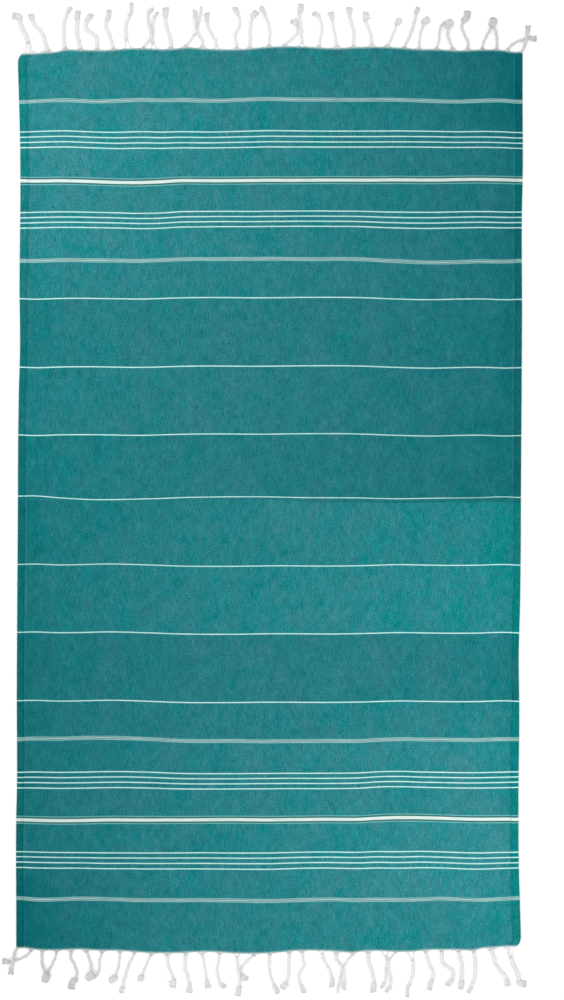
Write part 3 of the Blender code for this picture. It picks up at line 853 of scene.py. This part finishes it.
# The head end's tassels, from left to right. root: place across the towel. fan: width of the gathered warp
# at the edge. length, lean: the course in equal stretches, in degrees to the right of straight out. cord,
# bulk, end: widths of the cord, the knot and the tip. knot: from the tip to the knot's middle. over, span:
# where it crosses over the tassel beside it, and half the length that stays up there. legs: where its two
# legs join, if its warp comes up in two. reach: where its fan ends, if it is a long one. cream: how creamy
# its yarn is, at the head end. cleft: gap that parts the tuft in two. stray: loose yarn to the right of the
# knot. slant: how much further the tuft's right side reaches.
Tassel = namedtuple(
    "Tassel",
    "root fan length lean cord knot bulk end over span legs reach cream cleft stray slant",
    defaults=(None, 0.0, 0.0, 0.0, 0.0, 0.0, 0.0, 0.0),
)
TASSELS = (
    Tassel(-480.5, 25, 88.5, (-2, -10, -26, -26, -6, -76), 9.2, 13, 13, 15, reach=26),
    Tassel(-441, 16, 84, (-21, -12, -38, -38, -14), 8.0, 9, 10, 13),
    Tassel(-407.5, 11, 87, (-7, -2, 3, 17, 30), 7.2, 9, 7.8, 8),
    Tassel(-376.5, 11, 78, (-14, -13, 0, 4, 4), 7.8, 12, 10.5, 11.5),
    Tassel(-343, 10, 84, (-2, -14, -62, -33, 19, 35), 7.8, 11, 10, 12.5, slant=3.0),
    Tassel(-311, 11, 82, (-16, -18, -24, 20, 10), 6.8, 18, 9.5, 10.5),
    Tassel(-282, 14, 92, (-10, -5, 12, 24, 2), 7.0, 25, 7.5, 6.8, legs=21),
    Tassel(-252, 5, 79, (40, 22, 2, 24), 5.0, 9, 6.5, 6.0, cream=0.35),
    Tassel(-230, 12, 85, (-13, -9, -16, -3, 36), 5.6, 9, 8, 6.5, 30, 14, legs=14, cream=0.5),
    Tassel(-197, 12, 83, (0, -18, -15, -4, 5), 7.2, 13, 11.5, 13, slant=3.0),
    Tassel(-167, 11, 88, (37, 33, 17, 12, 9), 4.8, 12, 5.2, 3.4),
    Tassel(-133, 15, 79, (-5, -38, -15, -1, -1), 5.8, 14, 7.6, 8.6, 42, 14, slant=-4.0),
    Tassel(-104, 10, 75, (-14, -29, -26, -12, -1), 5.8, 14, 8, 12, legs=9, slant=3.0),
    Tassel(-65, 11, 87, (-8, -7, 32, 8, -18, -24), 5.4, 13, 8, 12, slant=-5.0),
    Tassel(-39.5, 10, 76, (3, 0, 10, 30), 6.2, 10, 11.5, 13.5),
    Tassel(-1, 10, 82, (4, 0, -14, -22, -26), 5.6, 15, 8.5, 11),
    Tassel(30, 11, 67, (46, 50, 39, 12, -18, -72), 5.0, 11, 11.5, 9),
    Tassel(65, 12, 84, (-3, -6, -10, 4, 10), 5.6, 14, 11, 13, 42, 11, legs=10),
    Tassel(99, 9, 76, (6, 13, 6, -12, -18, -68), 5.0, 10, 8.5, 10),
    Tassel(134.5, 15, 72, (-10, -10, -12, -5, -14), 5.0, 12, 8.5, 14.5),
    Tassel(167, 10, 80, (3, 0, -20, -11, 1), 6.6, 15, 7.5, 14.5),
    Tassel(204, 16, 70, (-4, -10, -25, -14, 8), 5.8, 12, 11.5, 13.5, stray=8.0),
    Tassel(235, 11, 60.5, (27, 22, 24, 20), 5.0, 7.5, 13, 6),
    Tassel(269, 8, 85, (25, 22, 17, 14, 14), 5.8, 9, 9.4, 9, cream=1.0),
    Tassel(298, 8, 66, (4, 9, 22, 32), 4.8, 9.5, 14.5, 8),
    Tassel(333, 9, 63, (18, 8, 2, 25, 64), 4.6, 6, 6, 5),
    Tassel(365.5, 12, 61.5, (-22, -16, 2, 18), 5.6, 11, 16.5, 10, 51, 11),
    Tassel(395.5, 12, 83, (2, -26, -24, 1, 39, 7), 5.4, 19, 13, 15.5),
    Tassel(424, 8, 67, (14, 27, 26, 22), 4.8, 12, 14, 13),
    Tassel(453, 8, 63.5, (2, -8, -24, 8), 5.8, 12, 14, 14.5, 46, 10),
    Tassel(474, 9, 66, (42, 66, 75, 92), 5.4, 10, 9, 14),
    Tassel(504.5, 5, 53, (20, 10, 12, 8), 6.4, 11, 9, 11.5, 25, 8.5, cleft=2.2),
)
TASSEL_SHADE_START = 170.0  # to the right of this place, the tassels are painted darker, as painted shade
TASSEL_SHADE_STOP = 480.0
TASSEL_PAINTED_SHADE = 0.21
fringe_dice = np.random.default_rng(FRINGE_SEED)


class Strand:
    """The course of one tassel, and places beside it."""

    def __init__(self, tassel):
        self.tassel = tassel
        # Painted shade on the tassels to the right, carried by every yarn's brightness.
        self.light = 1 - TASSEL_PAINTED_SHADE * ease((tassel.root - TASSEL_SHADE_START) / (TASSEL_SHADE_STOP - TASSEL_SHADE_START))
        self.joined = max(tassel.legs, tassel.reach, FAN_REACH)
        self.waves = fringe_dice.uniform(0, 2 * pi, 4)
        stretch = tassel.length / len(tassel.lean)
        leans = np.radians(tassel.lean)
        self.run = stretch * np.arange(len(tassel.lean) + 1)
        self.x = tassel.root + np.concatenate([[0.0], np.cumsum(stretch * np.sin(leans))])
        start = head_edge_y(tassel.root) + EDGE_CLEARANCE
        self.y = start + np.concatenate([[0.0], np.cumsum(stretch * np.cos(leans))])

    def middle(self, distance):
        """The course at distances from the root. Past the tip it runs on straight."""
        past = np.maximum(distance - self.run[-1], 0.0)
        last = radians(self.tassel.lean[-1])
        x = smooth_through(self.run, self.x, distance) + past * np.sin(last)
        y = smooth_through(self.run, self.y, distance) + past * np.cos(last)
        return np.stack([x, y], axis=-1)

    def ahead(self, distance):
        """Unit vectors along the course."""
        step = self.middle(np.asarray(distance) + 0.5) - self.middle(np.maximum(distance - 0.5, 0.0))
        return step / np.linalg.norm(step, axis=-1, keepdims=True)

    def lift(self, distance):
        """Height of the underside, where it rides over its neighbour."""
        if self.tassel.over is None:
            return 0.0 * distance
        past = np.abs(distance - self.tassel.over) - self.tassel.span
        return RIDE_HEIGHT * (1 - ease(past / RIDE_SLOPE))

    def swell(self, distance):
        """The cord's width as a share of its mean."""
        slow = np.sin(distance / 2.9 + self.waves[0])
        quick = np.sin(distance / 1.6 + self.waves[1])
        return 1 + UNEVEN * (slow + 0.7 * quick)

    def place(self, distance, aside, up):
        """Points beside the course: aside to the right of it, and up from where it lies."""
        distance = np.asarray(distance, float)
        ahead = self.ahead(distance)
        right = np.stack([ahead[..., 1], -ahead[..., 0]], axis=-1)
        wander = np.sin(distance / 3.1 + self.waves[2]) + 0.6 * np.sin(distance / 1.8 + self.waves[3])
        aside = aside + WANDER * wander * ease(distance / WANDER_RUN)
        flat = self.middle(distance) + right * aside[..., None]
        return np.concatenate([flat, (np.asarray(up) + self.lift(distance))[..., None]], axis=-1)


def warp_foot(tassel, away, share):
    """Where a bunch of warp ends leaves the edge, from the root: all over the fan, in two legs if the
    tassel has them, and in clumps if its fan is a long one."""
    if tassel.reach:
        return tassel.fan / 4 * np.round(2 * share) + fringe_dice.uniform(-CLUMP_LOOSE, CLUMP_LOOSE)
    if tassel.legs:
        return np.sign(away) * tassel.fan * (0.36 + 0.14 * abs(share))
    return np.clip(away, -tassel.fan / 2, tassel.fan / 2) * (0.45 + 0.55 * abs(share))


def lay_warp(yarns, strand, low, high):
    """The warp ends between two places on the cloth's edge, run along it to the root and up into the cord."""
    tassel = strand.tassel
    joined = strand.joined
    for start in np.arange(low + WARP_STEP / 2, high, WARP_STEP):
        away = start - tassel.root
        reach = (high if away > 0 else low) - tassel.root
        share = away / reach * np.sign(away)  # -1 to 1 over all of this tassel's warp
        foot = warp_foot(tassel, away, share)
        run_out = 0.3 + 1.1 * abs(share) * ease(abs(away - foot) / 6)
        run_out *= 1 + LOOSE * ease((LOOSE_BEFORE - start) / LOOSE_RUN)
        between = start + (tassel.root + foot - start) * np.array([0.08, 0.5, 0.85])
        edge = [(start, head_edge_y(start) - WARP_INSIDE, 0.75 + 0.3 * abs(share))]
        for place, out in zip(between, (0.2, 0.75, 1.0)):
            edge.append((place, head_edge_y(place) - 0.4 + run_out * out, 0.7 + 0.4 * abs(share)))
        gather = foot * FAN_SPREAD_SHARE
        cord_place = 0.34 * tassel.cord * share
        up = fringe_dice.uniform(0.1, 1.1)
        fan = strand.place(
            np.array([FAN_SPREAD, 0.55 * joined, joined, joined + 5.0]),
            np.array([gather, 0.45 * gather + 0.5 * cord_place, cord_place, 0.8 * cord_place]),
            np.array([0.5, 0.5 + up, CORD_THICK / 2 + (up - 1.1), CORD_THICK / 2]),
        )
        knots = np.concatenate([np.array(edge), fan])
        marks = np.concatenate([[0.0], np.cumsum(np.linalg.norm(np.diff(knots, axis=0), axis=1))])
        stations = np.linspace(0.0, marks[-1], WARP_STATIONS)
        course = np.stack([smooth_through(marks, knots[:, way], stations) for way in range(3)], axis=1)
        width = WARP_THICK * np.linspace(0.8, 1.7, WARP_STATIONS)
        # Painted light on the loose warp, against the shade among its yarns.
        shade = strand.light * fringe_dice.uniform(*WARP_PAINTED_LIGHT)
        yarns.add(course, width, WARP_THICK, shade, cream=tassel.cream)


def twist_cord(yarns, strand):
    """The cord: plies wound round each other from the root's gather into the knot."""
    tassel = strand.tassel
    start = strand.joined - CORD_START
    stop = tassel.length - tassel.knot
    distance = np.linspace(start, stop, ceil((stop - start) / CORD_STEP))
    slim = (CORD_SLIM + (1 - CORD_SLIM) * ease((distance - start) / 7)) * strand.swell(distance)
    turn = 2 * pi * (distance - start) / (CORD_TURN * tassel.cord) + fringe_dice.uniform(0, pi)
    for ply in range(CORD_PLIES):
        angle = turn + 2 * pi * ply / CORD_PLIES
        aside = (1 - PLY_SHARE) * tassel.cord / 2 * slim * np.cos(angle)
        up = CORD_THICK / 2 * (1 + (1 - PLY_SHARE) * np.sin(angle))
        course = strand.place(distance, aside, up)
        width, thick = PLY_SHARE * tassel.cord * slim, PLY_SHARE * CORD_THICK * slim
        shade = strand.light * fringe_dice.uniform(*PLY_SHADE)
        yarns.add(course, width, thick, shade, 7, tassel.cream)


def tie_knot(yarns, strand):
    """The overhand knot: a core, and the cord's own turns round it."""
    tassel = strand.tassel
    middle = tassel.length - tassel.knot
    half = max(KNOT_HALF, 0.5 * tassel.bulk)
    thick = np.clip(2 + 0.5 * tassel.bulk, KNOT_LEAST, KNOT_MOST)
    share = np.array(KNOT_SECTIONS)
    swell = np.sqrt(1 - share ** 2)
    core = strand.place(middle + half * share, 0 * share, thick / 2 + 0 * share)
    yarns.add(core, (tassel.bulk - 1.0) * swell, (thick - 1.0) * swell, strand.light, 8, tassel.cream)
    ahead = strand.ahead(np.array(middle))
    facing = (ahead[0], ahead[1], 0.0)
    for step, lean in KNOT_TURNS:
        aside = (tassel.bulk / 2 - 0.5) * np.cos(KNOT_ARC) * (1 - 0.5 * step ** 2)
        distance = middle + step * half + lean * aside
        up = thick / 2 + (thick / 2 - 0.9) * np.sin(KNOT_ARC)
        course = strand.place(distance, aside, up)
        # Painted shade on the knot's turns.
        shade = strand.light * fringe_dice.uniform(*TURN_PAINTED_SHADE)
        yarns.add(course, TURN_THICK, 0.5 + 0.6 * half, shade, 6, tassel.cream, facing)
    if tassel.stray:
        aside = tassel.bulk / 2 + tassel.stray * np.array([-0.6, 0.0, 0.5, 1.0])
        distance = middle + tassel.stray * np.array([0.1, 0.0, -0.1, 0.05])
        stray = strand.place(distance, aside, np.array([2.5, 2.2, 1.2, 0.6]))
        yarns.add(stray, 1.1, 1.0, 0.95 * strand.light, cream=tassel.cream, facing=facing)


def fray_tuft(yarns, strand):
    """The loose yarns past the knot, cut about level."""
    tassel = strand.tassel
    middle = tassel.length - tassel.knot
    for yarn in range(TUFT_YARNS):
        share = 2 * (yarn + 0.5) / TUFT_YARNS - 1
        tip = tassel.length + tassel.slant * share / 2 - TUFT_ROUND * share ** 2
        tip += fringe_dice.uniform(-1.0, 0.6)
        distance = np.linspace(middle + 1.0, tip, TUFT_STATIONS)
        part = (distance - distance[0]) / (distance[-1] - distance[0])
        width = TUFT_START * tassel.bulk
        width = width + (tassel.end - width) * part ** 0.8
        spread = share * width / 2 * (1 - 0.5 / width) + 0.12 * np.sin(5 * part + 9 * share)
        spread = spread + np.sign(share) * tassel.cleft * part * (1 - abs(share))
        level = 0.5 + 0.5 * abs(np.sin(2.4 * yarn)) * (TUFT_THICK - 1.1)
        up = (1 - part) * CORD_THICK / 2 + part * level
        course = strand.place(distance, spread, up + 0.2)
        # A tuft's yarn varies at random and is painted a little lighter, against the shade among its yarns.
        shade = strand.light * fringe_dice.uniform(*TUFT_TONE_AND_LIGHT)
        yarns.add(course, 1.25 - 0.2 * part, 1.1 - 0.5 * part, shade, cream=tassel.cream)


def head_fringe():
    """All the yarns of the head end. Each tassel takes the warp up to halfway to its neighbours."""
    yarns = Yarns()
    roots = [tassel.root for tassel in TASSELS]
    halfway = [(left + right) / 2 for left, right in zip(roots, roots[1:])]
    borders = [left_edge_x(CLOTH_LENGTH / 2) + 1.0] + halfway + [-left_edge_x(-CLOTH_LENGTH / 2) - 1.0]
    for tassel, low, high in zip(TASSELS, borders, borders[1:]):
        strand = Strand(tassel)
        lay_warp(yarns, strand, low, max(high, tassel.root + 1.0))
        twist_cord(yarns, strand)
        tie_knot(yarns, strand)
        fray_tuft(yarns, strand)
    return yarns.mesh("head_tassels")


COTTON_WHITE = (0.763, 0.763, 0.763, 1.0)
COTTON_CREAM = (0.724, 0.724, 0.67, 1.0)
FIBRES_ROUND = 3
FIBRE_TURN = 4.5  # along which the fibres wind from one to the next


def cotton_finish():
    finish, shader, lay = start_finish("undyed_cotton", "lay", roughness=0.9, gloss=0.2)
    tint = lay.node("ShaderNodeAttribute", {"attribute_name": "shade"}, output="Vector")
    shade, cream, _ = tint.split()
    around, run, _ = lay.split()
    fibres = (around * FIBRES_ROUND + run / FIBRE_TURN).wave(1.0)
    blots = lay.cloud(0.6, 3.0, 1)
    colour = cream.blend(COTTON_WHITE, COTTON_CREAM).lit(shade * (1 + fibres * 0.05 + blots * 0.2))
    colour.feed(shader, "Base Color")
    raise_threads(fibres + blots, shader, depth=0.15, strength=0.7)
    return finish


undyed_cotton = cotton_finish()
head_mesh = head_fringe()
for end, turn, creamy in (("head", 0.0, 1.0), ("foot", pi, 0.0)):  # the foot end has no creamy yarn
    mesh = head_mesh.copy()
    mesh.transform(Matrix.Rotation(turn, 4, "Z"))
    shades = np.empty(3 * len(mesh.vertices), np.float32)
    mesh.attributes["shade"].data.foreach_get("vector", shades)
    shades[1::3] *= creamy
    mesh.attributes["shade"].data.foreach_set("vector", shades)
    fringe = add_piece(f"{end}_tassels", mesh, undyed_cotton)
    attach(fringe, "root")
    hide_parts(f"fringe_{end}")
